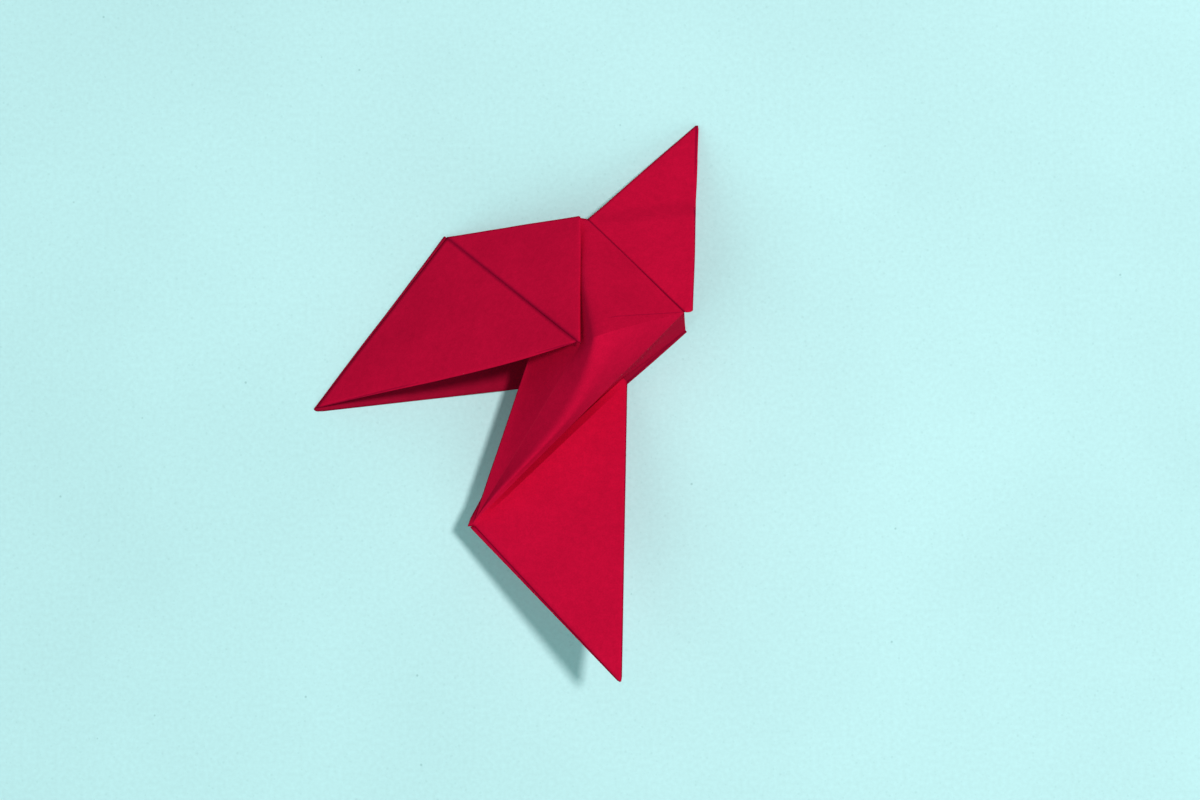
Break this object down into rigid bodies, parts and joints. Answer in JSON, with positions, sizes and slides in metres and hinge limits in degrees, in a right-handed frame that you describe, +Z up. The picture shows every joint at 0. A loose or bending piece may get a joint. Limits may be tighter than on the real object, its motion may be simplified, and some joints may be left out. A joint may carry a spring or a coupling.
{
  "type": "folded paper figure",
  "caption": "Bird-like toy folded from one square of red craft paper, opened out to stand on its own folds with three pointed flaps.",
  "frame": {"origin": "centre of the bounding box in plan, on the surface the figure stands on", "axes": "+Z up from the table; +Y towards the tip of the top flap, along the longest side; +X to the right as seen from above, with the wide flap at -X"},
  "size_m": [0.0932, 0.131, 0.0435],
  "materials": {
    "red_paper": "matt uncoated red craft paper, same colour on both sides, faint fibre texture, slightly lighter worn creases"
  },
  "bodies": {
    "body": {"left_wing_lower_panel": "red_paper", "body_left_panel": "red_paper", "crest_lower_left_panel": "red_paper", "crest_upper_left_panel": "red_paper", "body_right_lower_panel": "red_paper", "body_right_upper_panel": "red_paper", "under_left_panel": "red_paper", "under_right_panel": "red_paper", "inner_wing_panel": "red_paper", "leg_upper_panel": "red_paper", "leg_lower_panel": "red_paper", "spine_panel": "red_paper", "neck_lining_panel": "red_paper"},
    "left_wing": {"left_wing_upper_panel": "red_paper"},
    "shoulder": {"shoulder_panel": "red_paper"},
    "top_wing": {"top_wing_upper_panel": "red_paper", "top_wing_lower_panel": "red_paper"},
    "lower_wing": {"lower_wing_upper_panel": "red_paper", "lower_wing_lower_panel": "red_paper"}
  },
  "joints": [
    {"name": "top_wing_crease", "type": "hinge", "parent": "body", "child": "top_wing", "pos_m": [0.0198, 0.0409, 0.0154], "axis": [0.6386, -0.6472, 0.4163], "range_deg": [-25, 60]},
    {"name": "lower_wing_crease", "type": "hinge", "parent": "body", "child": "lower_wing", "pos_m": [-0.0062, -0.0312, 0.0173], "axis": [-0.7061, -0.6667, 0.2387], "range_deg": [-15, 50]},
    {"name": "left_wing_crease", "type": "hinge", "parent": "body", "child": "left_wing", "pos_m": [-0.0464, -0.0037, 0.0008], "axis": [-0.6118, -0.791, -0.0076], "range_deg": [0, 6]},
    {"name": "shoulder_crease", "type": "hinge", "parent": "body", "child": "shoulder", "pos_m": [-0.0143, 0.0378, 0.0012], "axis": [-0.8813, -0.09, -0.4639], "range_deg": [0, 9.3]}
  ],
  "couplings": [
    {"joint": "shoulder_crease", "follows": "left_wing_crease", "ratio": 1.55}
  ]
}
